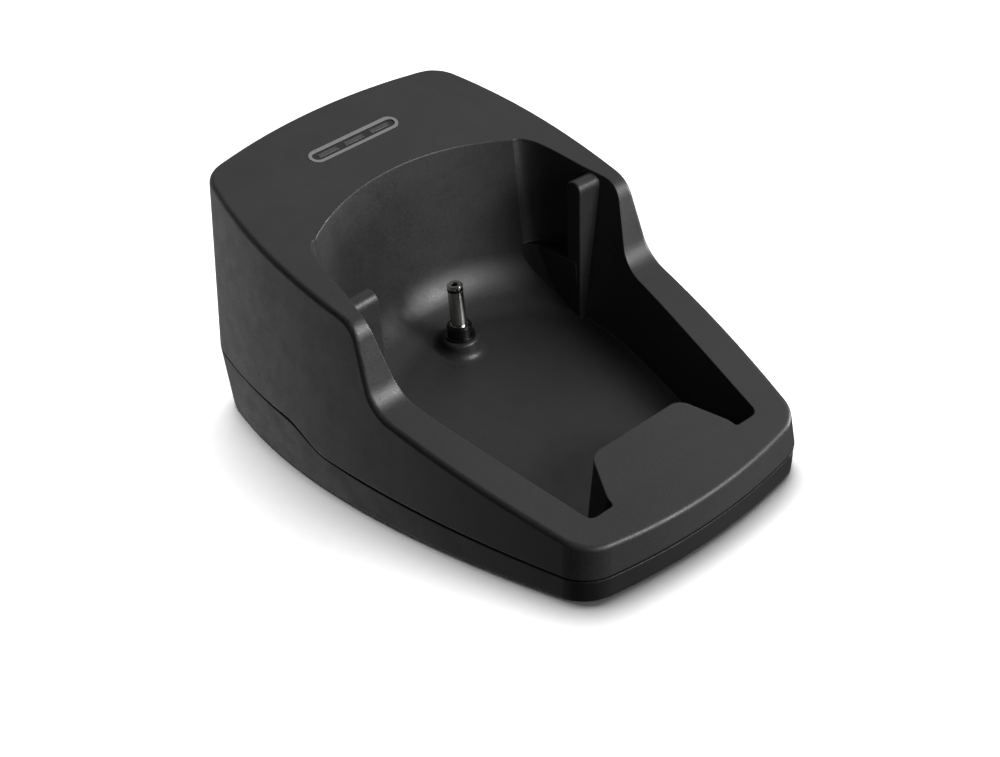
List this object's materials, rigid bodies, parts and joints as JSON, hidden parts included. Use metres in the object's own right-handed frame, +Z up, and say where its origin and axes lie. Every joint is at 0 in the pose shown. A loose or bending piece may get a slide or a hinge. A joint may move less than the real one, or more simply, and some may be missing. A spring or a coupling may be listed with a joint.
{
  "type": "charging cradle",
  "caption": "Table-top charging cradle with a deep drafted pocket, an upright barrel plug in it, a tongue at the front and a capsule-shaped indicator window on the rear slope.",
  "frame": {"origin": "on the table under the middle of the plan", "axes": "+X to the cradle's right seen from the front, +Y to its rear, +Z up"},
  "size_m": [0.1328, 0.1886, 0.0909],
  "materials": {
    "housing_black": "fine spark-eroded grain, satin",
    "bezel_grey": "satin",
    "smoked_lens": "polished, smoked",
    "clear_guide": "clear",
    "inner_black": "matt",
    "board_green": "solder-resist sheen",
    "lamp_white": "clear resin",
    "screw_steel": "zinc plated",
    "socket_cream": "satin",
    "cable_white": "satin film",
    "ferrite_grey": "matt ferrite",
    "capacitor_sleeve": "shrink sleeve",
    "sink_aluminium": "extruded",
    "wire_red": "satin",
    "wire_black": "satin",
    "contact_brass": "bright",
    "contact_nickel": "bright nickel",
    "collar_black": "satin",
    "foot_rubber": "matt",
    "plate_grey": "matt, blank"
  },
  "bodies": {
    "root": {"base_shell": "housing_black", "charge_controller": "inner_black", "filter_capacitors": "capacitor_sleeve", "heat_sink": "sink_aluminium", "housing_screws": "screw_steel", "indicator_bezel": "bezel_grey", "indicator_board": "board_green", "indicator_board_screws": "screw_steel", "indicator_leds": "lamp_white", "indicator_lens": "smoked_lens", "inlet_body": "inner_black", "inlet_pin": "contact_nickel", "inlet_spring": "contact_brass", "lead_plug": "socket_cream", "lead_socket": "socket_cream", "light_baffle": "inner_black", "light_guide": "clear_guide", "main_board": "board_green", "main_board_screws": "screw_steel", "negative_lead": "wire_black", "plug_barrel": "contact_nickel", "plug_collar": "collar_black", "plug_insulator": "collar_black", "plug_retainer": "inner_black", "plug_tip_contact": "contact_nickel", "positive_lead": "wire_red", "power_inductor": "ferrite_grey", "power_transistor": "inner_black", "rating_plate": "plate_grey", "ribbon_cable": "cable_white", "ribbon_sockets": "socket_cream", "ring_lug": "contact_brass", "rubber_feet": "foot_rubber", "upper_housing": "housing_black"}
  },
  "joints": []
}
